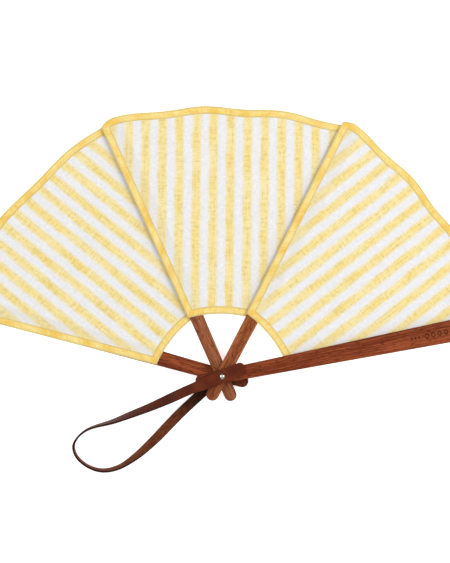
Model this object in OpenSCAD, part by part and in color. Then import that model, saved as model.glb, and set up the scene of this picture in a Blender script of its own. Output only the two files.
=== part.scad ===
// Folding hand fan: four timber sticks on one rivet, three cloth panels between them and a
// leather wrist strap. The fan lies open on its back, with its front facing +Z. The origin is
// on the rivet's axis, on the plane that the fan rests on, and +Y runs up the open fan.

/* [Opening] */
// Direction of the rear guard from the rivet, counted from +X, degrees
rear_guard_angle = 164.5; // [150:0.5:175]
// Angle between neighbouring sticks when the fan is open, degrees
stick_spacing = 51.1; // [40:0.1:54]

/* [Sticks] */
// Rivet to the outer end of both guards
guard_reach = 284; // [240:1:320]
// Rivet to the outer end of both ribs
rib_reach = 272; // [230:1:300]
// Rivet to the rounded end of the tails
tail_reach = 27; // [20:0.5:40]
// Width of a guard at the rivet
guard_width = 13.4; // [10:0.1:18]
// Width of a guard at its outer end
guard_tip_width = 23.4; // [14:0.1:30]
// Width of a rib at the rivet
rib_width = 12.2; // [9:0.1:16]
// Width of a rib at its outer end
rib_tip_width = 17; // [10:0.1:22]
// Thickness of both guards
guard_thick = 3; // [2:0.1:5]
// Thickness of both ribs
rib_thick = 2.2; // [1.5:0.1:4]
// Room between neighbouring sticks, which the folded cloth takes up
stick_gap = 1.8; // [1.7:0.1:4]

/* [Cloth] */
// Rivet to the cloth's inner edge
cloth_inner = 62; // [45:1:90]
// Rivet to the cloth's outer edge, at the middle of a panel
cloth_outer_middle = 268; // [220:1:300]
// Rivet to the cloth's outer edge, at a stick
cloth_outer_stick = 279.5; // [225:0.5:310]
// Thickness of the cloth with its hem
cloth_thick = 0.4; // [0.3:0.05:0.45]
// Width of the bound edge
binding_width = 7.8; // [4:0.1:10]
// How far a seam stands beside its stick's axis at the inner edge
seam_inner = 7.2; // [6:0.1:10]
// How far a seam stands beside its stick's axis at the outer edge
seam_outer = 11; // [8:0.1:14]
// How far a panel runs on past the axis of the next stick, behind it, at the inner edge
lap_inner = 5.5; // [3:0.1:7]
// How far a panel runs on past the axis of the next stick, behind it, at the outer edge
lap_outer = 8.8; // [4:0.1:10]

/* [Rivet] */
// Radius of the rivet's shank
shank_radius = 2; // [1.5:0.1:3]
// Radius of the domed head
head_radius = 3.3; // [2.8:0.1:6]
// Height of the domed head
head_height = 1.8; // [1:0.1:3]
// Thickness of the burr that closes the rivet at the back
burr_thick = 1; // [0.6:0.1:2]

/* [Strap] */
// Width of the leather strap
strap_width = 10; // [8:0.5:14]
// Width of the strap's rounded front tab
tab_width = 13; // [12:0.5:18]
// Thickness of the leather
leather_thick = 2; // [1:0.1:2.5]
// Rivet to the end of the front tab
tab_reach = 24.5; // [16:0.5:30]

/* [Hidden] */
$fn = 96;
fit = 0.05;
sticks = 4;
panels = 3;
leaves = 3;
panel_names = ["left", "middle", "right"];
leaf_names = ["rear", "middle", "front"];
leaf_nodes = [for (p = panel_names) for (l = leaf_names) str(p, "_panel_", l, "_leaf")];
binding_nodes = [for (p = panel_names) for (l = leaf_names) str(p, "_panel_", l, "_binding")];
washer_nodes = ["rear_washer", "middle_washer", "front_washer"];

// Heights, from the plane that the fan rests on upwards
strap_back_z = burr_thick + fit;
rear_guard_z = strap_back_z + leather_thick + fit;
rear_rib_z = rear_guard_z + guard_thick + stick_gap;
front_rib_z = rear_rib_z + rib_thick + stick_gap;
front_guard_z = front_rib_z + rib_thick + stick_gap;
strap_front_z = front_guard_z + guard_thick + fit;
head_z = strap_front_z + leather_thick + fit;
gap_z = [
    rear_guard_z + guard_thick,
    rear_rib_z + rib_thick,
    front_rib_z + rib_thick
];
leaf_step = (stick_gap - cloth_thick * leaves) / (leaves + 1) + cloth_thick;
washer_radius = 5.5;

// Where the leaves of a panel meet, as shares of the angle between its sticks
fold_shares = [0, 0.25, 0.75, 1];
wedge_inner = 30;
wedge_outer = 320;

// The panel's outer edge is an arc through its two corners and its middle
half_chord = cloth_outer_stick * sin(stick_spacing / 2);
edge_rise = cloth_outer_middle - cloth_outer_stick * cos(stick_spacing / 2);
edge_radius = (half_chord * half_chord + edge_rise * edge_rise) / (2 * edge_rise);

// The strap leaves the rivet at the front and comes back to it from behind
front_heading = 202;
back_heading = 221;
back_tab_reach = 8;
front_plate_reach = 29;
back_plate_reach = 30;

// Middle line of the strap's loop: x, y, z, and how far the leather has rolled over, in degrees
loop_route = [
    [-26, -10.5, 19.95, 0],
    [-36, -14.6, 20, 5],
    [-54, -23, 17.6, 26],
    [-72, -31, 14, 46],
    [-92, -39, 10.6, 58],
    [-110, -46, 7.8, 73],
    [-126, -50.5, 6.2, 84],
    [-135, -54, 5.9, 88],
    [-142, -59, 5.7, 90],
    [-147, -65, 5.6, 90],
    [-149, -71, 5.6, 90],
    [-147.5, -78, 5.6, 90],
    [-143.5, -84, 5.6, 91],
    [-137.5, -89, 5.6, 92],
    [-131, -92.5, 5.6, 94],
    [-124, -94.6, 5.6, 97],
    [-117, -95, 5.6, 100],
    [-109, -93.6, 5.6, 104],
    [-99, -89.5, 5.5, 110],
    [-84, -79, 4.9, 128],
    [-67, -63.5, 3.6, 150],
    [-54, -50, 2.6, 166],
    [-42, -37.8, 2.1, 176],
    [-31, -27.4, 2.05, 180],
    [-21.9, -19, 2.05, 180]
];
rings_per_stretch = 2;

function stick_angle(i) = rear_guard_angle - i * stick_spacing;
function beside(angle, reach, side) =
    [reach * cos(angle) - side * sin(angle), reach * sin(angle) + side * cos(angle)];

// One stick along +X, with a rounded tail, a rounded tip and the rivet's hole
module stick(reach, width, tip_width, thick) {
    tip_round = tip_width / 2;
    linear_extrude(thick)
        difference() {
            union() {
                polygon([
                    [-tail_reach + rib_width / 2, -rib_width / 2],
                    [0, -width / 2],
                    [reach - tip_round, -tip_width / 2],
                    [reach - tip_round, tip_width / 2],
                    [0, width / 2],
                    [-tail_reach + rib_width / 2, rib_width / 2]
                ]);
                translate([-tail_reach + rib_width / 2, 0])
                    circle(r = rib_width / 2);
                translate([reach - tip_round, 0])
                    circle(r = tip_round);
            }
            circle(r = shank_radius + fit);
        }
}

module rear_guard() {
    color("#91492e")
        translate([0, 0, rear_guard_z])
            rotate(stick_angle(0))
                stick(guard_reach - 12, guard_width, guard_tip_width - 3, guard_thick);
}

module rear_rib() {
    color("#9c6144")
        translate([0, 0, rear_rib_z])
            rotate(stick_angle(1))
                stick(rib_reach, rib_width, rib_tip_width, rib_thick);
}

module front_rib() {
    color("#aa6543")
        translate([0, 0, front_rib_z])
            rotate(stick_angle(2))
                stick(rib_reach, rib_width, rib_tip_width, rib_thick);
}

module front_guard() {
    color("#834020")
        translate([0, 0, front_guard_z])
            rotate(stick_angle(3))
                stick(guard_reach, guard_width, guard_tip_width, guard_thick);
}

// Disc whose rim is a panel's outer edge, drawn in by a margin
module edge_disc(panel, margin) {
    middle = stick_angle(panel) - stick_spacing / 2;
    rotate(middle)
        translate([cloth_outer_middle - edge_radius, 0])
            circle(r = edge_radius - margin);
}

// Flat outline of a panel, drawn in by a margin on every side
module panel_outline(panel, margin) {
    rear = stick_angle(panel);
    front = stick_angle(panel + 1);
    difference() {
        intersection() {
            polygon([
                beside(rear, wedge_inner, seam_inner - margin),
                beside(rear, cloth_inner, seam_inner - margin),
                beside(rear, wedge_outer, seam_outer + 1 - margin),
                beside(front, wedge_outer, margin - lap_outer),
                beside(front, cloth_inner, margin - lap_inner),
                beside(front, wedge_inner, margin - lap_inner)
            ]);
            edge_disc(panel, margin);
        }
        circle(r = cloth_inner + margin);
    }
}

// Wedge that keeps one leaf of a panel: the outer leaves keep all that lies beyond their fold
module leaf_wedge(panel, leaf) {
    past = 8;
    rear = stick_angle(panel) - fold_shares[leaf] * stick_spacing + (leaf == 0 ? past : 0);
    front = stick_angle(panel) - fold_shares[leaf + 1] * stick_spacing
        - (leaf == leaves - 1 ? past : 0);
    polygon([
        [0, 0],
        beside(rear, 2 * wedge_outer, 0),
        beside(front, 2 * wedge_outer, 0)
    ]);
}

// Lifts a flat shape to the height of its leaf and gives it the cloth's thickness
module at_leaf(panel, leaf) {
    translate([0, 0, gap_z[panel] + leaf_step * (leaf + 1) - cloth_thick])
        linear_extrude(cloth_thick)
            children();
}

module cloth_leaf(panel, leaf) {
    color("#f4dc93")
        at_leaf(panel, leaf)
            intersection() {
                panel_outline(panel, binding_width);
                leaf_wedge(panel, leaf);
            }
}

module cloth_binding(panel, leaf) {
    color("#efc45a")
        at_leaf(panel, leaf)
            intersection() {
                difference() {
                    panel_outline(panel, 0);
                    panel_outline(panel, binding_width);
                }
                leaf_wedge(panel, leaf);
            }
}

// Backing that makes a pocket round the rear guard
module rear_guard_sleeve() {
    sleeve_half = 11;
    sleeve_inner = cloth_inner + 4;
    sleeve_outer = cloth_outer_stick - 7;
    color("#efc45a")
        translate([0, 0, rear_guard_z - cloth_thick - fit])
            rotate(stick_angle(0))
                linear_extrude(cloth_thick)
                    polygon([
                        [sleeve_inner, -sleeve_half + 3],
                        [sleeve_outer, -sleeve_half],
                        [sleeve_outer, sleeve_half],
                        [sleeve_inner, sleeve_half - 3]
                    ]);
}

// Spacer that keeps two neighbouring sticks apart
module washer(gap) {
    color("#c9b58a")
        translate([0, 0, gap_z[gap] + fit])
            difference() {
                cylinder(h = stick_gap - 2 * fit, r = washer_radius);
                translate([0, 0, -1])
                    cylinder(h = stick_gap + 2, r = shank_radius + fit);
            }
}

module rivet_shank() {
    color("#d8d8d8")
        cylinder(h = head_z + head_height / 3, r = shank_radius);
}

module rivet_head() {
    dome_radius = (head_radius * head_radius + head_height * head_height) / (2 * head_height);
    color("#d8d8d8")
        difference() {
            intersection() {
                translate([0, 0, head_z + head_height - dome_radius])
                    sphere(r = dome_radius);
                translate([0, 0, head_z])
                    cylinder(h = head_height + 1, r = head_radius + 1);
            }
            translate([0, 0, head_z - 1])
                cylinder(h = 1 + head_height / 3, r = shank_radius);
        }
}

module rivet_burr() {
    color("#d8d8d8")
        difference() {
            cylinder(h = burr_thick, r = head_radius + 0.6);
            translate([0, 0, -1])
                cylinder(h = burr_thick + 2, r = shank_radius);
        }
}

// Flat end of the strap along +X, with its round-cornered tab behind the rivet
module strap_end(reach, tab, wide) {
    corner = wide * 0.36;
    side = wide / 2 - corner;
    linear_extrude(leather_thick)
        difference() {
            union() {
                polygon([
                    [-tab, -side],
                    [-tab + corner, -wide / 2],
                    [3, -wide / 2],
                    [reach, -strap_width / 2],
                    [reach, strap_width / 2],
                    [3, wide / 2],
                    [-tab + corner, wide / 2],
                    [-tab, side]
                ]);
                for (y = [-side, side])
                    translate([-tab + corner, y])
                        circle(r = corner);
            }
            circle(r = shank_radius + fit);
        }
}

module strap_front_end() {
    color("#5e2d1c")
        translate([0, 0, strap_front_z])
            rotate(front_heading)
                strap_end(front_plate_reach, tab_reach, tab_width);
}

module strap_back_end() {
    color("#6b3828")
        translate([0, 0, strap_back_z])
            rotate(back_heading)
                strap_end(back_plate_reach, back_tab_reach, strap_width + 1.2);
}

// A smooth curve through the route's points, sampled evenly between each two of them
function route_point(i) = loop_route[max(0, min(len(loop_route) - 1, i))];
function blend4(a, b, c, d, t) =
    0.5 * (2 * b + (c - a) * t + (2 * a - 5 * b + 4 * c - d) * t * t
    + (3 * b - a - 3 * c + d) * t * t * t);
function along(i, t) =
    blend4(route_point(i - 1), route_point(i), route_point(i + 1), route_point(i + 2), t);
function unit(v) = v / norm(v);

module strap_loop() {
    stretches = len(loop_route) - 1;
    line = [
        for (i = [0 : stretches - 1]) for (k = [0 : rings_per_stretch - 1])
            along(i, k / rings_per_stretch),
        loop_route[stretches]
    ];
    last = len(line) - 1;
    half_w = strap_width / 2;
    half_t = leather_thick / 2;
    corners = [[-half_w, -half_t], [half_w, -half_t], [half_w, half_t], [-half_w, half_t]];
    // A ring of four corners at each sample, with the leather's face turned by its roll
    points = [
        for (i = [0 : last])
            let (
                ahead = unit([for (k = [0 : 2]) line[min(last, i + 1)][k] - line[max(0, i - 1)][k]]),
                out = unit(cross(ahead, [0, 0, 1])),
                up = cross(out, ahead),
                face = cos(line[i][3]) * up + sin(line[i][3]) * out,
                wide = cross(ahead, face),
                centre = [line[i][0], line[i][1], line[i][2]]
            )
            for (c = corners) centre + c[0] * wide + c[1] * face
    ];
    walls = [
        for (i = [0 : last - 1]) for (k = [0 : 3])
            let (a = 4 * i + k, b = 4 * i + (k + 1) % 4)
            for (f = [[a, b, b + 4], [a, b + 4, a + 4]]) f
    ];
    caps = [[0, 3, 2], [0, 2, 1], [4 * last, 4 * last + 1, 4 * last + 2],
        [4 * last, 4 * last + 2, 4 * last + 3]];
    color("#5e2d1c")
        polyhedron(points = points, faces = concat(walls, caps));
}

rear_guard();
rear_rib();
front_rib();
front_guard();
rear_guard_sleeve();
for (p = [0 : panels - 1]) for (l = [0 : leaves - 1]) {
    cloth_leaf(p, l);
    cloth_binding(p, l);
}
for (g = [0 : panels - 1])
    washer(g);
rivet_shank();
rivet_head();
rivet_burr();
strap_front_end();
strap_back_end();
strap_loop();
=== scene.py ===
# %% [markdown]
# # A folding fan of timber, linen and leather
#
# Four flat timber sticks turn on one rivet. Three striped linen panels are sewn between them, and a
# leather strap loops out of the rivet. The packed model gives the sizes and the moving bodies, and
# this notebook makes the surfaces that a hand would feel: grain, weave, hems, stitches and leather.

import math

import bmesh
import bpy
from mathutils import Matrix, Vector, noise


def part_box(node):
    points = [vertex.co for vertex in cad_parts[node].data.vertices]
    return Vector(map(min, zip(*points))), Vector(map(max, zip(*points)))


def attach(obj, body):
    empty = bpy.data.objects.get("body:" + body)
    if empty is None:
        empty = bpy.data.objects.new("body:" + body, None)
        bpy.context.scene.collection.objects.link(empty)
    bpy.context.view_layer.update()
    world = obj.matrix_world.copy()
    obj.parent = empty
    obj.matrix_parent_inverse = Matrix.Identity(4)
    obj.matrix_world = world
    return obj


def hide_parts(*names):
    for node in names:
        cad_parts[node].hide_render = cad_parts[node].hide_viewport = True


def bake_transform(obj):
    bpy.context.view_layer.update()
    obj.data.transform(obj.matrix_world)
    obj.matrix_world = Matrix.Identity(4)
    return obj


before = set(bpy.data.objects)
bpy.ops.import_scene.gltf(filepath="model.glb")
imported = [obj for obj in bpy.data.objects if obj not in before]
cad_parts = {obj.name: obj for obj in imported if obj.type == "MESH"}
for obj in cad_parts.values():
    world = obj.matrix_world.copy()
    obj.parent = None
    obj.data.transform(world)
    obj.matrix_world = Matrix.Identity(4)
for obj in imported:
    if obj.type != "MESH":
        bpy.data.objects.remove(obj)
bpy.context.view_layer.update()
MM = 0.001

# %% [markdown]
# The camera comes first, because the strap is a free cord and has to stay in its view. The fan is
# seen straight from the front, lying on its back. The lens is long, so the picture is nearly flat.

# %% Camera
VIEW_HEIGHT = 0.563
CAMERA_DISTANCE = 1.5
SENSOR = 36
view_centre = Vector((2.8, 94.3, 9.0)) * MM

camera_data = bpy.data.cameras.new("camera")
camera_data.sensor_width = SENSOR
camera_data.lens = SENSOR * CAMERA_DISTANCE / VIEW_HEIGHT
camera_data.clip_end = 20
camera = bpy.data.objects.new("camera", camera_data)
camera.location = view_centre + Vector((0, 0, CAMERA_DISTANCE))
bpy.context.collection.objects.link(camera)
bpy.context.scene.camera = camera
print("lens", round(camera_data.lens, 1), "mm")

# %% [markdown]
# The fan's layout is polar: everything is placed by its angle round the rivet and its distance from
# it. These few numbers drive every piece below. Heights are read from the packed nodes, so a piece
# always lands on the level of the part that it stands for.

# %% The fan's layout
REAR_ANGLE = math.radians(164.5)
SPACING = math.radians(51.1)
PANELS = ("left", "middle", "right")
STICK_BODIES = ("rear_guard", "rear_rib", "front_rib", "front_guard")
FOLD_BODIES = ("left_fold", "middle_fold", "right_fold")
# the cloth's inner edge, and its outer edge in a panel's middle and at a stick
INNER = 62 * MM
OUTER_MIDDLE = 268 * MM
OUTER_STICK = 279.5 * MM
# how far a panel reaches past the axis of its rear and its front stick, at both edges
SEAM = (7.2 * MM, 11 * MM)
LAP = (5.5 * MM, 8.8 * MM)
# and how much further the sewing let each panel's rear edge go
SEAM_SHIFT = (0.0, 1.3 * MM, 0.5 * MM)


def stick_angle(index):
    return REAR_ANGLE - index * SPACING


def polar(angle, reach, z=0.0):
    return Vector((reach * math.cos(angle), reach * math.sin(angle), z))


def rotation(angle):
    return Matrix.Rotation(angle, 3, "Z")


def mix(a, b, t):
    return a + (b - a) * t


def smooth(t):
    t = max(0.0, min(1.0, t))
    return t * t * (3 - 2 * t)


print("stick angles:", [round(math.degrees(stick_angle(i)), 1) for i in range(len(STICK_BODIES))])

# %% [markdown]
# Shader maths reads best as maths. A node graph could be linked socket by socket, but a formula of
# ten Math nodes is then thirty lines. `Wire` wraps one socket instead and adds a Math node for each
# operator, so that `1 - mask` means what it says.

# %% Sums of sockets
class Wire:
    """One output of a node, which takes part in sums as a number does."""

    def __init__(self, finish, socket):
        self.finish = finish
        self.socket = socket

    def _math(self, operation, *values):
        return self.finish.add("ShaderNodeMath", {"operation": operation}, *values)

    def __add__(self, other):
        return self._math("ADD", self, other)

    def __radd__(self, other):
        return self._math("ADD", other, self)

    def __sub__(self, other):
        return self._math("SUBTRACT", self, other)

    def __rsub__(self, other):
        return self._math("SUBTRACT", other, self)

    def __mul__(self, other):
        return self._math("MULTIPLY", self, other)

    def __rmul__(self, other):
        return self._math("MULTIPLY", other, self)

    def __truediv__(self, other):
        return self._math("DIVIDE", self, other)

    def fract(self):
        return self._math("FRACT", self)

    def absolute(self):
        return self._math("ABSOLUTE", self)

    def most(self, other):
        return self._math("MAXIMUM", self, other)

    def sine(self):
        return self._math("SINE", self)

    def clamp(self):
        return self.finish.add("ShaderNodeClamp", {}, self)

    def step_up(self, low, high):
        """0 below low and 1 above high, with a soft step between."""
        settings = {"interpolation_type": "SMOOTHSTEP"}
        return self.finish.add("ShaderNodeMapRange", settings, self, low, high, 0.0, 1.0)


print("a socket has", sum(callable(method) for method in vars(Wire).values()), "methods")

# %% [markdown]
# `Finish` holds a material and its Principled shader. Any node comes from one method, `add`, which
# takes the node's type, its settings and its inputs. Only the colour, the roughness and the bump
# vary over a surface here. Everything else is a constant on the shader's own socket.

# %% Finishes
class Finish:
    """A material, its Principled shader and the nodes that feed it."""

    def __init__(self, name, roughness=0.5, **constants):
        self.material = bpy.data.materials.new(name)
        self.material.use_nodes = True
        self.tree = self.material.node_tree
        self.shader = self.tree.nodes["Principled BSDF"]
        self.shader.inputs["Roughness"].default_value = roughness
        for socket, value in constants.items():
            self.shader.inputs[socket.replace("_", " ")].default_value = value

    def _feed(self, socket, value):
        if isinstance(value, Wire):
            self.tree.links.new(value.socket, socket)
        else:
            socket.default_value = value

    def add(self, kind, settings, *values, output=0, **named):
        node = self.tree.nodes.new(kind)
        for key, value in settings.items():
            setattr(node, key, value)
        for socket, value in zip([s for s in node.inputs if s.enabled], values):
            self._feed(socket, value)
        for key, value in named.items():
            self._feed(node.inputs[key], value)
        outputs = [s for s in node.outputs if s.enabled]
        return Wire(self, outputs[output])

    def coordinates(self, kind="Object", turn=0.0):
        """Object or UV coordinates, turned about Z by minus turn."""
        source = self.tree.nodes.new("ShaderNodeTexCoord").outputs[kind]
        return self.add("ShaderNodeMapping", {}, Wire(self, source), (0, 0, 0), (0, 0, -turn))

    def axes(self, vector):
        return [self.add("ShaderNodeSeparateXYZ", {}, vector, output=i) for i in range(3)]

    def vector(self, x, y, z=0.0):
        return self.add("ShaderNodeCombineXYZ", {}, x, y, z)

    def noise(self, vector, scale, detail=3.0, rough=0.55, distortion=0.0):
        return self.add("ShaderNodeTexNoise", {}, Vector=vector, Scale=scale, Detail=detail,
                        Roughness=rough, Distortion=distortion)

    def blend(self, amount, first, second):
        """A colour between first and second. A Mix node keeps its colour sockets at 6 and 7."""
        node = self.tree.nodes.new("ShaderNodeMix")
        node.data_type = "RGBA"
        self._feed(node.inputs[0], amount)
        self._feed(node.inputs[6], first)
        self._feed(node.inputs[7], second)
        return Wire(self, node.outputs[2])

    def finish(self, colour, roughness=None, height=None, depth=0.0, strength=1.0):
        self._feed(self.shader.inputs["Base Color"], colour)
        if roughness is not None:
            self._feed(self.shader.inputs["Roughness"], roughness)
        if height is not None:
            bump = self.add("ShaderNodeBump", {}, Strength=strength, Distance=depth, Height=height)
            self._feed(self.shader.inputs["Normal"], bump)
        return self.material


def paint(red, green, blue):
    """A colour picked in screen values from 0 to 255, as the shader's linear RGBA."""
    def linear(value):
        value /= 255
        return value / 12.92 if value <= 0.04045 else ((value + 0.055) / 1.055) ** 2.4
    return (linear(red), linear(green), linear(blue), 1.0)


print("middle grey:", round(paint(128, 128, 128)[0], 3))

# %% [markdown]
# ## Timber
#
# The sticks are an open-pored reddish hardwood, oiled but not varnished. Its look has three scales:
# broad bands of colour along the stick, fine streaks inside them, and short dark pores that are cut
# open by the plane. All three are noise that is stretched along the grain.

# %% Timber finish
# each stick's reach from the rivet, its width there and at its tip, and how far its edges are eased
STICKS = {
    "rear_guard": (272 * MM, 13.4 * MM, 20.4 * MM, 0.45 * MM),
    "rear_rib": (272 * MM, 12.2 * MM, 17 * MM, 0.4 * MM),
    "front_rib": (272 * MM, 12.2 * MM, 17 * MM, 0.4 * MM),
    "front_guard": (284 * MM, 13.4 * MM, 23.4 * MM, 0.5 * MM),
}


def timber(node, light, dark, seed, tail, ornament=None):
    """Oiled hardwood for one stick: tail says how dark its end behind the rivet is, partly from
    handling and partly as painted shade.
    """
    wood = Finish("timber_" + node, roughness=0.5, Specular_IOR_Level=0.12)
    turn = stick_angle(STICK_BODIES.index(node))
    stick = wood.axes(wood.coordinates("Object", turn=turn))
    along, across, up = stick[0] + seed, stick[1] + seed * 0.37, stick[2]
    wander = wood.noise(wood.vector(along * 9, across * 9, up * 9), 1.0, 2.0) - 0.5
    band_at = wood.vector(along * 5, across * 130 + wander * 2.2, up * 60)
    bands = wood.noise(band_at, 1.0, 4.0, 0.6)
    streak_at = wood.vector(along * 28, across * 1300 + wander * 12, up * 700)
    streaks = wood.noise(streak_at, 1.0, 3.0, 0.6)
    pore_at = wood.vector(along * 170, across * 1050, up * 900)
    pores = wood.noise(pore_at, 1.0, 1.0, 0.4).step_up(0.55, 0.66)
    shade = (bands * 0.42 + streaks * 0.58).step_up(0.39, 0.62)
    colour = wood.blend(shade, dark, light)
    deep = (dark[0] * 0.4, dark[1] * 0.24, dark[2] * 0.12, 1.0)
    colour = wood.blend(pores * 0.6, colour, deep)
    # painted shade: the eased edges are darker, standing in for the shaded sides of the slat
    reach, start, end, _ = STICKS[node]
    half = stick[0] * ((end - start) / 2 / reach) + start / 2
    edge_shade = (stick[1].absolute() - half).step_up(-0.9 * MM, -0.1 * MM)
    colour = wood.blend(edge_shade * 0.5, colour, deep)
    # the tail behind the rivet is darker too, partly from handling and partly as painted shade
    behind = 1 - stick[0].step_up(-10 * MM, 6 * MM)
    colour = wood.blend(behind * tail, colour, deep)
    height = streaks * 0.4 - pores * 0.9
    if ornament:
        cut = ornament(*stick[:2])
        colour = wood.blend(cut * 0.85, colour, paint(44, 16, 8))
        height = height - cut * 6
    rough = 0.42 + streaks * 0.16 + pores * 0.2
    return wood.finish(colour, rough, height, depth=0.00018, strength=0.55)


def burnt_motif(along, across):
    """Three dots and a row of small lozenges, burnt into the guard as an ornament."""
    dot_pitch, lozenge_pitch = 3.8 * MM, 6.5 * MM
    side = across.absolute()
    dot_step = (along - 190 * MM) / dot_pitch
    dot_local = (dot_step.fract() - 0.5).absolute() * dot_pitch
    dots = 1 - (dot_local * dot_local + side * side).step_up((0.8 * MM) ** 2, (1.2 * MM) ** 2)
    dots = dots * dot_step.step_up(0.0, 0.01) * (1 - dot_step.step_up(3.0, 3.01))
    step = (along - 204 * MM) / lozenge_pitch
    local = (step.fract() - 0.5).absolute() * lozenge_pitch
    lozenge = local / (2.5 * MM) + side / (3.1 * MM)
    outline = lozenge.step_up(0.5, 0.62) * (1 - lozenge.step_up(0.98, 1.1))
    row = outline * step.step_up(0.0, 0.01) * (1 - step.step_up(8.0, 8.01))
    return (dots + row).clamp()


TIMBER = {
    "rear_guard": timber("rear_guard", paint(156, 78, 40), paint(100, 38, 16), 3.1, 0.6),
    "rear_rib": timber("rear_rib", paint(176, 110, 72), paint(114, 58, 32), 7.7, 0.12),
    "front_rib": timber("front_rib", paint(194, 116, 70), paint(128, 66, 32), 12.9, 0.16),
    "front_guard": timber("front_guard", paint(160, 80, 42), paint(104, 40, 14), 18.3, 0.5,
                          burnt_motif),
}
print("timber finishes:", len(TIMBER))

# %% [markdown]
# ## Sticks
#
# A stick is a flat slat: a long taper, a half-round tail behind the rivet and a round tip. It could
# be a cube with its ends pulled in, but the round ends and the rivet's hole come out cleaner from a
# drawn outline. The outline is filled round the hole, extruded to its thickness, and every edge is
# eased with a small bevel, because a sanded slat has no sharp edge and the highlight along it is
# what makes it read as wood.

# %% Sticks
TAIL_REACH = 27 * MM
TAIL_WIDTH = 12.2 * MM
RIVET_HOLE = 2.05 * MM


def new_mesh(name, bm, finish):
    mesh = bpy.data.meshes.new(name)
    bm.to_mesh(mesh)
    bm.free()
    obj = bpy.data.objects.new(name, mesh)
    bpy.context.collection.objects.link(obj)
    mesh.materials.append(finish)
    return obj


def slat_outline(reach, width, tip_width, steps=14):
    """Points round a stick that lies along +X, counterclockwise from its tail."""
    def arc(centre, radius, start, end):
        turns = [mix(start, end, k / steps) for k in range(steps + 1)]
        return [Vector((centre + radius * math.cos(a), radius * math.sin(a), 0)) for a in turns]
    tail_round = TAIL_WIDTH / 2
    tip_round = tip_width / 2
    outline = arc(tail_round - TAIL_REACH, tail_round, math.pi / 2, 3 * math.pi / 2)
    outline.append(Vector((0, -width / 2, 0)))
    outline += arc(reach - tip_round, tip_round, -math.pi / 2, math.pi / 2)
    outline.append(Vector((0, width / 2, 0)))
    return outline


def slat(node):
    reach, width, tip_width, ease = STICKS[node]
    low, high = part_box(node)
    bm = bmesh.new()
    outline = slat_outline(reach, width, tip_width)
    ring = [bm.verts.new(point) for point in outline]
    for a, b in zip(ring, ring[1:] + ring[:1]):
        bm.edges.new((a, b))
    hole = bmesh.ops.create_circle(bm, segments=28, radius=RIVET_HOLE, cap_ends=False)["verts"]
    bmesh.ops.triangle_fill(bm, use_beauty=True, edges=bm.edges[:])
    inside = [f for f in bm.faces if all(v in hole for v in f.verts)]
    bmesh.ops.delete(bm, geom=inside, context="FACES_ONLY")
    bmesh.ops.dissolve_limit(bm, angle_limit=0.01, verts=bm.verts[:], edges=bm.edges[:],
                             delimit={"NORMAL"})
    lifted = bmesh.ops.extrude_face_region(bm, geom=bm.faces[:])["geom"]
    rise = Vector((0, 0, high[2] - low[2]))
    top = [g for g in lifted if isinstance(g, bmesh.types.BMVert)]
    bmesh.ops.translate(bm, vec=rise, verts=top)
    bmesh.ops.recalc_face_normals(bm, faces=bm.faces[:])
    arrises = [e for e in bm.edges if len(e.link_faces) == 2 and e.calc_face_angle(0) > 0.9]
    bmesh.ops.bevel(bm, geom=arrises, offset=ease, segments=3, profile=0.5, affect="EDGES",
                    material=-1, clamp_overlap=True)
    bmesh.ops.triangulate(bm, faces=[f for f in bm.faces if len(f.verts) > 4])
    turn = stick_angle(STICK_BODIES.index(node))
    bmesh.ops.rotate(bm, cent=(0, 0, 0), matrix=rotation(turn), verts=bm.verts[:])
    bmesh.ops.translate(bm, vec=Vector((0, 0, low[2])), verts=bm.verts[:])
    for face in bm.faces:
        face.smooth = abs(face.normal.z) < 0.999
    obj = new_mesh(node + "_slat", bm, TIMBER[node])
    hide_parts(node)
    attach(obj, node)
    return obj


slats = [slat(node) for node in STICKS]
print("slats:", [len(s.data.polygons) for s in slats], "faces")

# %% [markdown]
# ## Linen
#
# The panels are plain-woven slub linen with soft stripes: yellow warp threads in bands, white
# between. Up close a stripe is not flat colour: thick and thin threads show as short streaks both
# ways, and the dye is patchy. An image of cloth would do, but noise has no seams and no size. The
# pattern reads the cloth's own UV map, which holds the place on the flat cut in metres, so stripes
# and threads go with the cloth when it folds.

# %% Linen finish
STRIPE_PITCH = 17 * MM
STRIPE_LEAN = math.radians(1.6)
STRIPE_PHASE = {"left": 11.5 * MM, "middle": 6.3 * MM, "right": 4.3 * MM}
THREAD = 0.55 * MM


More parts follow.
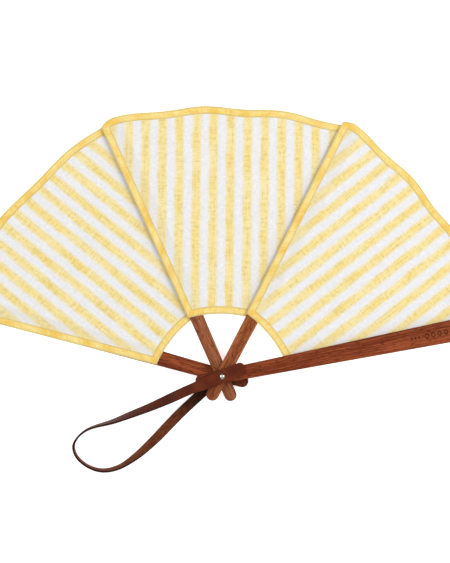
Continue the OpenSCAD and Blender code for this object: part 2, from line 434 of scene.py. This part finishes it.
def linen(name, phase, seed):
    cloth = Finish(name, roughness=0.88, Sheen_Weight=0.12, Sheen_Roughness=0.5)
    across, along, _ = cloth.axes(cloth.coordinates("UV"))
    # patchy dye, long warp slubs and short weft slubs
    patch = cloth.noise(cloth.vector(across * 55, along * 40, seed), 1.0, 2.0)
    warp = cloth.noise(cloth.vector(across * 560, along * 34, seed + 3), 1.0, 3.0, 0.65)
    weft = cloth.noise(cloth.vector(across * 60, along * 520, seed + 7), 1.0, 3.0, 0.65)
    fleck = cloth.noise(cloth.vector(across * 300, along * 260, seed + 9), 1.0, 2.0, 0.7)
    # a stripe's edge is ragged by about a thread
    wobble = (warp - 0.5) * 0.1 + (weft - 0.5) * 0.12 + (patch - 0.5) * 0.2
    place = ((across - phase) / STRIPE_PITCH + 0.5 + wobble).fract() - 0.5
    stripe = 1 - place.absolute().step_up(0.13, 0.38)
    tone = (patch * 0.4 + warp * 0.25 + weft * 0.25 + fleck * 0.3).step_up(0.42, 0.8)
    yellow = cloth.blend(tone, paint(242, 228, 172), paint(237, 208, 112))
    thread = (warp * 0.5 + weft * 0.5).step_up(0.38, 0.62)
    white = cloth.blend(thread, paint(225, 225, 229), paint(243, 242, 241))
    colour = cloth.blend(stripe, white, yellow)
    # thin threads let the dark through, thick ones catch the light
    thin = (warp * 0.4 + weft * 0.4 + fleck * 0.3).step_up(0.53, 0.67)
    shade = cloth.blend(stripe, paint(196, 196, 202), paint(200, 180, 122))
    colour = cloth.blend(thin * 0.4, colour, shade)
    # the rear stick shows through, and the cloth is in shade by the front one
    for turn, start, end, depth in ((-0.5, 7 * MM, 11 * MM, 0.2), (0.5, 12 * MM, 24 * MM, 0.16)):
        lean = STRIPE_LEAN + turn * SPACING
        beside = (across * math.cos(lean) - along * math.sin(lean)).absolute()
        near = 1 - beside.step_up(start, end)
        colour = cloth.blend(near * depth, colour, paint(204, 192, 164))
    ridge_x = (across * (math.tau / THREAD)).sine()
    ridge_y = (along * (math.tau / THREAD)).sine()
    rumple = cloth.noise(cloth.vector(across * 30, along * 17, seed + 12), 1.0, 3.0, 0.55, 0.6)
    height = ridge_x * ridge_y * 0.35 + warp * 1.3 + weft * 1.1 + fleck * 0.6 + rumple * 20
    return cloth.finish(colour, None, height, depth=0.00016, strength=0.6)


LINEN = {p: linen("linen_" + p, STRIPE_PHASE[p], 2.0 + 5 * i) for i, p in enumerate(PANELS)}
print("linen:", {panel: len(m.node_tree.nodes) for panel, m in LINEN.items()}, "nodes")

# %% [markdown]
# The bound edge is a tape of the same linen in solid deep yellow. Its dye has rubbed off in
# patches, and it is darker at the fold and along its inner side. The stitches are a twisted cotton
# thread.

# %% Hem and thread finishes
def hem_linen():
    cloth = Finish("hem_linen", roughness=0.86, Sheen_Weight=0.12, Sheen_Roughness=0.5)
    across, along, _ = cloth.axes(cloth.coordinates("UV"))
    slub = cloth.noise(cloth.vector(across * 500, along * 70, 4.0), 1.0, 3.0, 0.65)
    weft = cloth.noise(cloth.vector(across * 60, along * 600, 8.0), 1.0, 2.0, 0.6)
    patch = cloth.noise(cloth.vector(across * 20, along * 45, 1.0), 1.0, 2.0)
    tone = (slub * 0.35 + weft * 0.3 + patch * 0.45).step_up(0.44, 0.66)
    colour = cloth.blend(tone, paint(243, 223, 146), paint(236, 192, 78))
    # the fold at the edge and the raw side of the tape are a shade darker
    depth = across.absolute()
    lines = (1 - depth.step_up(0.9 * MM, 2.4 * MM)).most(depth.step_up(6.2 * MM, 7.0 * MM))
    colour = cloth.blend(lines * 0.55, colour, paint(196, 180, 130))
    ridge = (across * (math.tau / THREAD)).sine() * (along * (math.tau / THREAD)).sine()
    height = ridge * 0.3 + slub + weft * 0.8
    return cloth.finish(colour, None, height, depth=0.00014, strength=0.5)


HEM_LINEN = hem_linen()
cotton = Finish("thread", roughness=0.7)
twist = cotton.noise(cotton.coordinates("Object"), 900.0, 2.0)
THREAD_FINISH = cotton.finish(cotton.blend(twist, paint(255, 226, 128), paint(238, 184, 70)), None,
                              twist, depth=0.00005)
print("hem and thread:", HEM_LINEN.name, THREAD_FINISH.name)

# %% [markdown]
# ## Panels
#
# Each panel is one cloth, held at four sides: the two sticks, the inner hem and the outer hem.
# First comes its outline. The inner edge is nearly an arc about the rivet. The outer edge is
# flatter, with a slow wave that the sewing left, and it falls away at the corners. The long sides
# follow the sticks. A traced curve would give the same line, but these few numbers can be changed
# by hand.

# %% Outline of a panel
half_chord = OUTER_STICK * math.sin(SPACING / 2)
edge_rise = OUTER_MIDDLE - OUTER_STICK * math.cos(SPACING / 2)
EDGE_RADIUS = (half_chord ** 2 + edge_rise ** 2) / (2 * edge_rise)

# how each outer hem was sewn: swell, tilt over the panel, waves per radian and their phase
EDGE_SHAPE = (
    (2.4 * MM, 6.9 * MM, 17.1, -0.1),
    (0.3 * MM, 0.0, 21.2, -0.65),
    (3.5 * MM, 0.0, 24.0, -2.3),
)
WAVE_HEIGHT = 1.3 * MM
# from this turn off a panel's middle its corners are rounded
CORNER_FROM = math.radians(25)
CORNER_SPAN = math.radians(3)
REAR_CORNER_DROP = 5.3 * MM
FRONT_CORNER_DROP = 9 * MM


def panel_middle(panel):
    return stick_angle(panel) - SPACING / 2


def outer_reach(panel, angle):
    """Rivet to the outer edge at an angle: an arc through the corners, slightly wavy as sewn."""
    turn = angle - panel_middle(panel)
    back = EDGE_RADIUS - OUTER_MIDDLE
    arc = -back * math.cos(turn) + math.sqrt(EDGE_RADIUS ** 2 - (back * math.sin(turn)) ** 2)
    swell, tilt, waves, phase = EDGE_SHAPE[panel]
    arc += swell + tilt * turn + WAVE_HEIGHT * math.sin(waves * turn + phase)
    past = max(0.0, abs(turn) - CORNER_FROM) / CORNER_SPAN
    return arc - past ** 2 * (REAR_CORNER_DROP if turn > 0 else FRONT_CORNER_DROP)


def inner_reach(panel, angle):
    """Rivet to the inner edge: a little flatter than an arc, so its corners are further out."""
    turn = (angle - panel_middle(panel)) / (SPACING / 2)
    return INNER + 3 * MM * turn ** 2


def edge_angle(panel, side, reach):
    """Angle of the panel's rear or front border at a distance from the rivet."""
    share = (reach - INNER) / (OUTER_STICK - INNER)
    if side == "rear":
        return stick_angle(panel) + math.asin((mix(*SEAM, share) + SEAM_SHIFT[panel]) / reach)
    return stick_angle(panel + 1) - math.asin(mix(*LAP, share) / reach)


print("outer edge's radius:", round(EDGE_RADIUS * 1000), "mm")

# %% [markdown]
# The cloth rises from the top of its rear stick to the underside of its front one. Between them it
# is slack by a fraction of a millimetre, in soft waves. Cloth simulation is the usual way to make
# cloth hang, but this one is pulled tight on four sides, so a smooth noise does as well and keeps
# the two halves of a panel on one line.

# %% Height of the cloth
HEM_ROOM = 0.55 * MM
# height of each panel over its rear stick and under its front one
LEVELS = [
    (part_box(rear)[1][2] + HEM_ROOM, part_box(front)[0][2] - HEM_ROOM)
    for rear, front in zip(STICK_BODIES, STICK_BODIES[1:])
]


def cloth_height(panel, angle, reach):
    """Where the cloth lies: taut over the sticks, in slack soft waves between them."""
    low, high = LEVELS[panel]
    share = (stick_angle(panel) - angle) / SPACING
    level = mix(low, high, smooth(share))
    free = smooth(share / 0.2) * smooth((1 - share) / 0.2)
    free *= smooth((reach - INNER) / (40 * MM))
    where = polar(angle, reach) / (55 * MM)
    slack = noise.noise(Vector((where.x, where.y, 3.7 * panel)))
    fine = noise.noise(Vector((where.x * 3.1, where.y * 3.1, 9.0 + 2.3 * panel)))
    radial = math.sin(share * 21 + panel * 2.0) * smooth((reach - 90 * MM) / (190 * MM))
    return level + free * (slack * 0.6 + fine * 0.2 + radial * 0.2) * MM


print("levels, mm:", [[round(level * 1000, 2) for level in pair] for pair in LEVELS])

# %% [markdown]
# A panel is made as two halves that meet on its middle line, because a half has to bend across one
# hinge when the fan closes. Each half is a grid in polar form: `across` runs from the stick to the
# middle line, `out` from the inner hem to the outer one. Both halves read their height from one
# function of the place on the fan, so they meet without a step. The rear half is tucked under the
# front one by a hair, so that no gap shows.

# %% Half panels
CLOTH_THICK = 0.3 * MM
TUCK = 0.4 * MM
CLOTH_INSET = 1 * MM


def half_place(panel, half, across, out, inset=0.0):
    """A place on a half panel: across 0 at the stick and 1 at the middle line, out 0 at the inner
    edge and 1 at the outer one. The borders may be drawn in by inset."""
    side = "rear" if half == 0 else "front"
    near = inner_reach(panel, edge_angle(panel, side, INNER)) + inset
    far = outer_reach(panel, edge_angle(panel, side, OUTER_STICK)) - inset
    reach = mix(near, far, out)
    border = edge_angle(panel, side, reach) + (-1 if half == 0 else 1) * inset / reach
    middle = panel_middle(panel) - (TUCK / reach if half == 0 else 0)
    angle = mix(border, middle, across)
    near = inner_reach(panel, angle) + inset
    far = outer_reach(panel, angle) - inset
    return angle, mix(near, far, out)


def half_point(panel, half, across, out, inset=0.0, lift=0.0):
    """The same place as a point of space, lift above the middle of the cloth. The rear half dips
    by a hair at the middle line, where it is tucked under the front half."""
    angle, reach = half_place(panel, half, across, out, inset)
    dip = 0.03 * MM * across ** 8 if half == 0 else 0.0
    return polar(angle, reach, cloth_height(panel, angle, reach) + lift - dip)


def flat_place(panel, point):
    """Place on the flat cut, in metres: across the stripes, and along them."""
    lean = panel_middle(panel) + STRIPE_LEAN
    return (point.x * math.sin(lean) - point.y * math.cos(lean),
            point.x * math.cos(lean) + point.y * math.sin(lean))


def grid(columns, rows, place):
    """A bmesh grid whose points are moved to place(u, v), with u and v from 0 to 1."""
    bm = bmesh.new()
    made = bmesh.ops.create_grid(bm, x_segments=columns, y_segments=rows, size=1.0)
    shares = {v: ((v.co.x + 1) / 2, (v.co.y + 1) / 2) for v in made["verts"]}
    for vert, (u, v) in shares.items():
        vert.co = place(u, v)
    return bm, shares


def across_hinge(obj, panel, half):
    """Bakes a piece's placement into its mesh; it does not bend the piece."""
    rear, fold, front = STICK_BODIES[panel], FOLD_BODIES[panel], STICK_BODIES[panel + 1]
    crease = stick_angle(panel) - SPACING * (0.25 if half == 0 else 0.75)
    middle = polar(crease, OUTER_STICK / 2)
    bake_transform(obj)


def cloth_half(panel, half):
    name = PANELS[panel] + ("_rear_half" if half == 0 else "_front_half")
    bm, _ = grid(60, 96,
                 lambda u, v: half_point(panel, half, u, v, CLOTH_INSET, CLOTH_THICK / 2))
    if half == 1:
        bmesh.ops.reverse_faces(bm, faces=bm.faces[:])
    bm.normal_update()
    bmesh.ops.solidify(bm, geom=bm.faces[:], thickness=CLOTH_THICK)
    bm.normal_update()
    weave = bm.loops.layers.uv.new("weave")
    for face in bm.faces:
        face.smooth = abs(face.normal.z) > 0.7
        for loop in face.loops:
            loop[weave].uv = flat_place(panel, loop.vert.co)
    for edge in bm.edges:
        edge.smooth = len({face.smooth for face in edge.link_faces}) == 1
    return new_mesh(name, bm, LINEN[PANELS[panel]])


print("corner of the middle panel:", [round(c * 1000) for c in half_point(1, 0, 0, 1)], "mm")

# %% [markdown]
# The outline of a half panel is also the line that its hem follows. The hem is a tape folded over
# the cloth's edge: its cross-section goes in over the top, round the edge, and back under. Every
# line of the tape is the outline drawn in by its own depth, so the corners come out mitred.

# %% Hem tape
INNER_PART = [(1 - k / 16, 0) for k in range(16)]
SIDE_PART = [(0, k / 60) for k in range(60)]
OUTER_PART = [(k / 48, 1) for k in range(49)]
OUTLINE = INNER_PART + SIDE_PART + OUTER_PART
# distance in from the edge and height over the cloth's middle, in millimetres
HEM_PROFILE = ((7.8, 0.05), (7.75, 0.3), (7.5, 0.42), (6.5, 0.42), (6.1, 0.34), (5.7, 0.44),
               (4.0, 0.5), (2.6, 0.52), (1.2, 0.5), (0.5, 0.4), (0.12, 0.22), (0.0, 0.0))


def hem_section():
    """The tape's cross-section: distance in from the edge and height, over, round and under."""
    over = [(a * MM, b * MM) for a, b in HEM_PROFILE]
    under = [(a, -b) for a, b in reversed(over[:-1])]
    return over + under


def hem_tape(panel, half):
    name = PANELS[panel] + ("_rear_hem" if half == 0 else "_front_hem")
    section = hem_section()
    last = len(OUTLINE) - 1
    edge = [half_point(panel, half, *share) for share in OUTLINE]
    lengths = [0.0]
    for a, b in zip(edge, edge[1:]):
        lengths.append(lengths[-1] + (b - a).length)

    def place(u, v):
        depth, lift = section[round(v * (len(section) - 1))]
        return half_point(panel, half, *OUTLINE[round(u * last)], depth, lift)

    bm, shares = grid(last, len(section) - 1, place)
    weave = bm.loops.layers.uv.new("weave")
    for face in bm.faces:
        face.smooth = True
        for loop in face.loops:
            u, v = shares[loop.vert]
            depth, lift = section[round(v * (len(section) - 1))]
            loop[weave].uv = (depth if lift >= 0 else -depth, lengths[round(u * last)])
    if half == 0:
        bmesh.ops.reverse_faces(bm, faces=bm.faces[:])
    return new_mesh(name, bm, HEM_LINEN)


print("hem:", len(OUTLINE), "places along it,", len(hem_section()), "across")

# %% [markdown]
# The stitches are real too: a lockstitch row runs just inside the hem's inner side, on both faces.
# One stitch is a small bead, longer than it is wide, and copies of it are stamped along the line.
# An array along a curve could repeat it too, but a stamp needs no extra objects.

# %% Stitches
STITCH = 2.1 * MM
STITCH_PITCH = 2.9 * MM
STITCH_WIDE = 0.42 * MM
STITCH_INSET = 6.1 * MM
STITCH_LIFT = 0.36 * MM


def stamp(bm, pattern, turn, place):
    """Adds a turned and moved copy of a small pattern mesh."""
    copies = {v: bm.verts.new(turn @ v.co + place) for v in pattern.verts}
    for face in pattern.faces:
        bm.faces.new([copies[v] for v in face.verts])


def stitch_row(panel, half):
    name = PANELS[panel] + ("_rear_stitches" if half == 0 else "_front_stitches")
    line = [half_point(panel, half, *share, STITCH_INSET) for share in OUTLINE]
    bead = bmesh.new()
    bmesh.ops.create_icosphere(bead, subdivisions=1, radius=1.0)
    bmesh.ops.scale(bead, vec=(STITCH / 2, STITCH_WIDE / 2, STITCH_WIDE / 2), verts=bead.verts)
    bm = bmesh.new()
    left = STITCH_PITCH / 2
    for a, b in zip(line, line[1:]):
        leg = b - a
        run = leg.length
        turn = rotation(math.atan2(leg.y, leg.x))
        while left < run:
            spot = a + leg * (left / run)
            for lift in (STITCH_LIFT, -STITCH_LIFT):
                stamp(bm, bead, turn, spot + Vector((0, 0, lift)))
            left += STITCH_PITCH
        left -= run
    bead.free()
    for face in bm.faces:
        face.smooth = True
    return new_mesh(name, bm, THREAD_FINISH)


print("stitches to 100 mm:", round(100 * MM / STITCH_PITCH))

# %% [markdown]
# Now the three panels are made. Each half stands for the flat leaves of the packed model, and its
# cloth's area is kept.

# %% Make the three panels
panel_cut = {}
for p, panel_name in enumerate(PANELS):
    for half in (0, 1):
        cloth = cloth_half(p, half)
        hem = hem_tape(p, half)
        stitches = stitch_row(p, half)
        leaf = panel_name + "_panel_"
        ends = ("rear", "middle") if half == 0 else ("front",)
        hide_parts(*[leaf + end + "_leaf" for end in ends])
        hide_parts(*[leaf + end + "_binding" for end in ends])
        for piece in (cloth, hem, stitches):
            across_hinge(piece, p, half)
        sticks = [STICK_BODIES[p] + "_slat", STICK_BODIES[p + 1] + "_slat"]
        area = sum(face.area for face in cloth.data.polygons) / 2
        panel_cut[cloth.name] = round(area, 4)
print("cloth areas, square metres:", panel_cut)

# %% [markdown]
# ## The pocket behind the rear guard
#
# The rear guard is not glued: it sits in a narrow pocket, so a strip of the hem's cloth runs
# behind it. The strip is a flat grid just behind the guard, rippled by a hair towards its long
# edges, and a Solidify modifier gives it its thickness.

# %% Pocket
POCKET_THICK = 0.25 * MM


def pocket():
    guard_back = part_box("rear_guard")[0][2]
    near, far = INNER + 4.5 * MM, OUTER_STICK - 8 * MM
    turn = stick_angle(0)

    def place(u, v):
        reach = mix(near, far, u)
        half_wide = mix(8, 10.6, u) * MM
        side = mix(-1, 1, v)
        ripple = 0.06 * MM * math.sin(u * 70) * abs(side)
        spot = rotation(turn) @ Vector((reach, side * half_wide, 0))
        return Vector((spot.x, spot.y, guard_back - 0.28 * MM + ripple))

    bm, shares = grid(90, 10, place)
    weave = bm.loops.layers.uv.new("weave")
    for face in bm.faces:
        face.smooth = True
        for loop in face.loops:
            u, v = shares[loop.vert]
            loop[weave].uv = (mix(-10, 10, v) * MM, mix(near, far, u))
    obj = new_mesh("rear_guard_pocket", bm, HEM_LINEN)
    thick = obj.modifiers.new("thickness", "SOLIDIFY")
    thick.thickness = POCKET_THICK
    thick.offset = 0
    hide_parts("rear_guard_sleeve")
    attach(obj, "rear_guard")
    return far - near


print("pocket:", round(pocket() * 1000), "mm long")

# %% [markdown]
# ## Leather strap
#
# One strip of vegetable-tanned leather, 2 mm thick. It is wide at the rivet and narrows to the
# loop. It leaves the front of the rivet flat, stands on its edge round the bend, and comes back
# under the fan the other way up, so its smooth side is outwards on both faces of the fan. A curve
# with a bevel would twist at the bend in its own way, so the route gives every station its own
# roll.

# %% Strap route
LEATHER = 2 * MM
FRONT_HEADING = math.radians(202)
BACK_HEADING = math.radians(221)
# how far from the rivet the strip's stations are, on its front tab and on its back one
FRONT_REACHES = (-24.4, -23.4, -21.5, -19, -14, -8, 0, 8, 14, 20)
BACK_REACHES = (20, 12, 5, -2, -6, -7.9)
# x, y and z in millimetres, and the roll in degrees, from the front of the fan to its back
LOOP_ROUTE = (
    (-26, -10.5, 19.95, 0),
    (-36, -14.6, 20, 5),
    (-54, -23, 17.6, 26),
    (-72, -31, 14, 46),
    (-92, -39, 10.6, 58),
    (-110, -46, 7.8, 73),
    (-126, -50.5, 6.2, 84),
    (-135, -54, 5.9, 88),
    (-142, -59, 5.7, 90),
    (-147, -65, 5.6, 90),
    (-149, -71, 5.6, 90),
    (-147.5, -78, 5.6, 90),
    (-143.5, -84, 5.6, 91),
    (-137.5, -89, 5.6, 92),
    (-131, -92.5, 5.6, 94),
    (-124, -94.6, 5.6, 97),
    (-117, -95, 5.6, 100),
    (-109, -93.6, 5.6, 104),
    (-99, -89.5, 5.5, 110),
    (-84, -79, 4.9, 128),
    (-67, -63.5, 3.6, 150),
    (-54, -50, 2.6, 166),
    (-42, -37.8, 2.1, 176),
    (-31, -27.4, 2.05, 180),
    (-21.9, -19, 2.05, 180),
)


def strap_stations():
    """Stations along the whole strip: a place in metres, and a roll in radians."""
    front_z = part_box("strap_front_end")[0][2] + LEATHER / 2
    back_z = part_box("strap_back_end")[0][2] + LEATHER / 2
    head = [(*polar(FRONT_HEADING, reach * MM, front_z), 0) for reach in FRONT_REACHES]
    loop = [(x * MM, y * MM, z * MM, math.radians(roll)) for x, y, z, roll in LOOP_ROUTE]
    tail = [(*polar(BACK_HEADING, reach * MM, back_z), math.pi) for reach in BACK_REACHES]
    return head + loop + tail


def curve_through(points, parts):
    """A smooth curve through the points, with parts samples to each stretch."""
    out = []
    for i in range(len(points) - 1):
        a, b, c, d = (points[max(0, min(len(points) - 1, i + k))] for k in (-1, 0, 1, 2))
        for part in range(parts):
            t = part / parts
            out.append([
                0.5 * (2 * q + (r - p) * t + (2 * p - 5 * q + 4 * r - s) * t ** 2
                       + (3 * q - p - 3 * r + s) * t ** 3)
                for p, q, r, s in zip(a, b, c, d)
            ])
    out.append(list(points[-1]))
    return out


strap_line = curve_through(strap_stations(), 5)
strap_places = [Vector(s[:3]) for s in strap_line]
strap_rolls = [s[3] for s in strap_line]
strap_runs = [0.0]
for a, b in zip(strap_places, strap_places[1:]):
    strap_runs.append(strap_runs[-1] + (b - a).length)
print("strap length", round(strap_runs[-1], 3), "m")


# %% [markdown]
# The leather's grain side is dark and smooth with fine pores, its flesh side is paler and fibrous,
# and its cut edges are nearly black. Three materials on three sets of faces would show a hard line
# at each arris. One finish reads the attribute `side` instead, which runs from 1 on the grain side
# to -1 on the flesh side, and blends them.

# %% Leather finish
def leather():
    hide = Finish("leather", roughness=0.5, Specular_IOR_Level=0.12)
    across, along, _ = hide.axes(hide.coordinates("UV"))
    side = hide.add("ShaderNodeAttribute", {"attribute_name": "side"}, output=2)
    flesh = 1 - side.step_up(-0.05, 0.05)
    edge = 1 - side.absolute().step_up(0.75, 0.95)
    pores = hide.noise(hide.vector(across * 1500, along * 1500, 1.0), 1.0, 2.0, 0.5)
    mottle = hide.noise(hide.vector(across * 60, along * 45, 2.0), 1.0, 4.0, 0.6)
    crease = hide.noise(hide.vector(across * 240, along * 700, 3.0), 1.0, 3.0, 0.6)
    fibre = hide.noise(hide.vector(across * 700, along * 160, 5.0), 1.0, 4.0, 0.7)
    grain = hide.blend(mottle.step_up(0.3, 0.7), paint(82, 28, 10), paint(106, 44, 18))
    grain = hide.blend(pores.step_up(0.55, 0.75) * 0.3, grain, paint(46, 16, 8))
    rough_side = hide.blend((fibre * 0.6 + mottle * 0.4).step_up(0.35, 0.65),
                            paint(68, 28, 12), paint(120, 64, 34))
    # painted shade: the grain side is darker from where the strip leaves the front tab to its end
    loop_shade = along.step_up(0.045, 0.08) * 0.45
    grain = hide.blend(loop_shade, grain, paint(38, 14, 8))
    colour = hide.blend(flesh, grain, rough_side)
    colour = hide.blend(edge * 0.9, colour, paint(36, 14, 8))
    # painted shadow: the flesh side is blackened near the rivet, at the junction under the tab
    junction_shadow = along.step_up(0.325, 0.352) * flesh
    colour = hide.blend(junction_shadow * 0.75, colour, paint(26, 10, 6))
    rough = (mottle * 0.1 + 0.45) * (1 - flesh) + flesh * (fibre * 0.12 + 0.72)
    height = (pores * 0.6 + crease * 0.8) * (1 - flesh) + flesh * fibre * 2.2
    return hide.finish(colour, rough, height, depth=0.00018, strength=0.55)


LEATHER_FINISH = leather()
print("leather:", len(LEATHER_FINISH.node_tree.nodes), "nodes")

# %% [markdown]
# The strip is one ring of points, a flat section with rounded arrises. It is extruded from station
# to station, and each new ring is turned to the route and given its own width: 13 mm at the tab, 10
# mm in the loop. Each point keeps its place across and along the strip for the finish.

# %% Strap mesh
SECTION_STEPS = 4
EDGE_ROUND = 0.55 * MM


def strip_section(half_wide):
    """Points round the strip's section: across it, and towards its grain side."""
    half_thick = LEATHER / 2
    corners = ((1, 1), (1, -1), (-1, -1), (-1, 1))
    points = []
    for cx, cz in corners:
        start = math.atan2(cz, 0) if cx * cz > 0 else math.atan2(0, cx)
        for k in range(SECTION_STEPS + 1):
            a = start - math.pi / 2 * k / SECTION_STEPS
            points.append(((half_wide - EDGE_ROUND) * cx + EDGE_ROUND * math.cos(a),
                           (half_thick - EDGE_ROUND) * cz + EDGE_ROUND * math.sin(a)))
    return points


def strip_half_width(run):
    """Half the strip's width at a distance along it: round tabs, wide at the rivet."""
    total = strap_runs[-1]
    rivet_run = -FRONT_REACHES[0] * MM
    corner = 4.7 * MM
    wide = mix(6.5, 5.0, smooth((run - rivet_run - 12 * MM) / (22 * MM))) * MM
    wide = mix(wide, 5.6 * MM, smooth((run - total + 26 * MM) / (20 * MM)))
    for end in (run, total - run):
        if end < corner:
            wide -= corner - math.sqrt(max(0.0, corner ** 2 - (corner - end) ** 2))
    return max(wide, EDGE_ROUND * 1.5)


def strap():
    bm = bmesh.new()
    count = len(strip_section(5 * MM))
    side = bm.verts.layers.float.new("side")
    ring = bmesh.ops.create_circle(bm, segments=count, radius=1.0, cap_ends=False)["verts"]
    places = {}
    for i, here in enumerate(strap_places):
        if i:
            edges = [bm.edges.get((ring[k], ring[(k + 1) % count])) for k in range(count)]
            grown = bmesh.ops.extrude_edge_only(bm, edges=edges)["geom"]
            fresh = {v for v in grown if isinstance(v, bmesh.types.BMVert)}
            following = []
            for vert in ring:
                following.append(next(e.other_vert(vert) for e in vert.link_edges
                                      if e.other_vert(vert) in fresh))
            ring = following
        ahead = (strap_places[min(i + 1, len(strap_places) - 1)] - strap_places[max(i - 1, 0)])
        ahead.normalize()
        out = ahead.cross(Vector((0, 0, 1))).normalized()
        up = out.cross(ahead)
        roll = strap_rolls[i]
        face = up * math.cos(roll) + out * math.sin(roll)
        wide = ahead.cross(face)
        for vert, (x, z) in zip(ring, strip_section(strip_half_width(strap_runs[i]))):
            vert.co = here + wide * x + face * z
            vert[side] = z / (LEATHER / 2)
            places[vert] = (x, strap_runs[i])
        if i in (0, len(strap_places) - 1):
            bmesh.ops.contextual_create(bm, geom=ring)
    bmesh.ops.recalc_face_normals(bm, faces=bm.faces[:])
    uv = bm.loops.layers.uv.new("strip")
    for face in bm.faces:
        face.smooth = len(face.verts) == 4
        for loop in face.loops:
            loop[uv].uv = places[loop.vert]
    obj = new_mesh("leather_strap", bm, LEATHER_FINISH)
    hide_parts("strap_front_end", "strap_loop", "strap_back_end")
    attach(obj, "strap")
    return obj


print("strap:", len(strap().data.polygons), "faces")

# %% [markdown]
# ## Rivet and washers
#
# The rivet is nickel plate with fine scratches; its crown is a painted highlight, and round it the
# metal is darker.
# The washers are pressed fibre, so they are dull and flecked.

# %% Rivet and washer finishes
metal = Finish("rivet_metal", roughness=0.2, Metallic=1.0)
scratch = metal.noise(metal.coordinates("Object"), 1400.0, 3.0, 0.6)
rivet_x, rivet_y, _ = metal.axes(metal.coordinates("Object"))
# painted highlight: near the rivet's axis the metal is painted bright, and it is darker round that
crown_highlight = 1 - (rivet_x * rivet_x + rivet_y * rivet_y).step_up((1.4 * MM) ** 2, (2.4 * MM) ** 2)
rivet_rim = metal.blend(scratch, paint(92, 74, 62), paint(112, 92, 78))
RIVET_METAL = metal.finish(metal.blend(crown_highlight, rivet_rim, paint(226, 214, 200)),
                           0.1 + scratch * 0.08, scratch, depth=0.00001)

fibre = Finish("washer_fibre", roughness=0.7)
flock = fibre.noise(fibre.coordinates("Object"), 900.0, 3.0, 0.6)
WASHER_FIBRE = fibre.finish(fibre.blend(flock, paint(120, 78, 48), paint(160, 112, 74)), None,
                            flock, depth=0.00005)
print("rivet finishes:", RIVET_METAL.name, WASHER_FIBRE.name)

# %% [markdown]
# The rivet has a low dome in front, a flat burr behind, and a plain shank through the stack. A
# flattened sphere has its poles in the wrong place for a dome's sharp lip, so dome and burr are
# profiles, spun once round the rivet's axis. The shank and the washers are turned parts whose
# packed shape is already right, so they only get their finish.

# %% Rivet

def spun(name, profile, finish, node):
    """Spins a profile of (radius, height) pairs once round the rivet's axis."""
    bm = bmesh.new()
    verts = [bm.verts.new((r, 0, z)) for r, z in profile]
    edges = [bm.edges.new(pair) for pair in zip(verts, verts[1:])]
    bmesh.ops.spin(bm, geom=verts + edges, cent=(0, 0, 0), axis=(0, 0, 1), angle=math.tau,
                   steps=40, use_merge=True, dvec=(0, 0, 0))
    bmesh.ops.remove_doubles(bm, verts=bm.verts[:], dist=1e-7)
    bmesh.ops.recalc_face_normals(bm, faces=bm.faces[:])
    for face in bm.faces:
        face.smooth = True
    obj = new_mesh(name, bm, finish)
    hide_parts(node)
    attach(obj, "rear_guard")
    return obj


def dome_profile(base, top, radius, steps=10):
    height = top - base
    sphere = (radius ** 2 + height ** 2) / (2 * height)
    lip = [(0, base), (radius * 0.9, base), (radius, base + 0.12 * MM)]
    reach = math.asin((radius * 0.995) / sphere)
    arc = [(sphere * math.sin(reach * (1 - k / steps)),
            top - sphere + sphere * math.cos(reach * (1 - k / steps))) for k in range(steps + 1)]
    return lip + [(r, max(z, base + 0.14 * MM)) for r, z in arc]


head_low, head_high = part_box("rivet_head")
spun("rivet_dome", dome_profile(head_low[2], head_high[2], head_high[0]), RIVET_METAL,
     "rivet_head")
burr_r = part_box("rivet_burr")[1][0]
# flat below, hollow where the shank was peened, and rounded at its rim
burr_profile = [(0, 0.35 * MM), (1.4 * MM, 0.3 * MM), (2.1 * MM, 0.05 * MM), (2.6 * MM, 0),
                (burr_r - 0.3 * MM, 0), (burr_r, 0.3 * MM), (burr_r, 0.75 * MM),
                (burr_r - 0.2 * MM, 1.0 * MM), (0, 1.0 * MM)]
spun("rivet_back", burr_profile, RIVET_METAL, "rivet_burr")
for node, finish in (("rivet_shank", RIVET_METAL), ("rear_washer", WASHER_FIBRE),
                     ("middle_washer", WASHER_FIBRE), ("front_washer", WASHER_FIBRE)):
    for material_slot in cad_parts[node].material_slots:
        material_slot.material = finish
print("rivet: dome", round(head_high[0] * 2000, 1), "mm across, burr", round(burr_r * 2000, 1))

# %% [markdown]
# ## Stage
#
# A white table and two soft lights. The stronger one stands over the fan's upper right, so each
# overlapping seam drops a thin shadow on its left. One lamp alone would leave the shadows too dark,
# and the world's even light fills them. The table glows a little, so that it stays white.

# %% Stage
bm = bmesh.new()
bmesh.ops.create_grid(bm, x_segments=1, y_segments=1, size=12.0)
bmesh.ops.translate(bm, vec=(0, 0, -0.2 * MM), verts=bm.verts)
paper = Finish("paper", roughness=0.9, Base_Color=(0.93, 0.93, 0.93, 1.0),
               Emission_Color=(1.0, 1.0, 1.0, 1.0), Emission_Strength=0.6)
floor = new_mesh("floor", bm, paper.material)


def area_light(name, place, watts):
    """A one metre lamp that faces the middle of the fan."""
    data = bpy.data.lights.new(name, "AREA")
    data.size = 1.0
    data.energy = watts
    light = bpy.data.objects.new(name, data)
    light.location = place
    light.rotation_euler = (Vector((0, 0.1, 0)) - Vector(place)).to_track_quat("-Z", "Y").to_euler()
    bpy.context.collection.objects.link(light)


area_light("right", (1.3, 0.5, 1.4), 17.5)
area_light("left", (-1.2, 0.4, 1.4), 9.0)

world = bpy.data.worlds.new("studio")
world.use_nodes = True
world.node_tree.nodes["Background"].inputs["Color"].default_value = (1, 1, 1, 1)
world.node_tree.nodes["Background"].inputs["Strength"].default_value = 0.62
bpy.context.scene.world = world
bpy.context.scene.view_settings.view_transform = "Standard"
print("lights:", [light.name for light in bpy.data.lights])

# %% [markdown]
# Cloth and leather may stand proud of the packed solids by only a little.
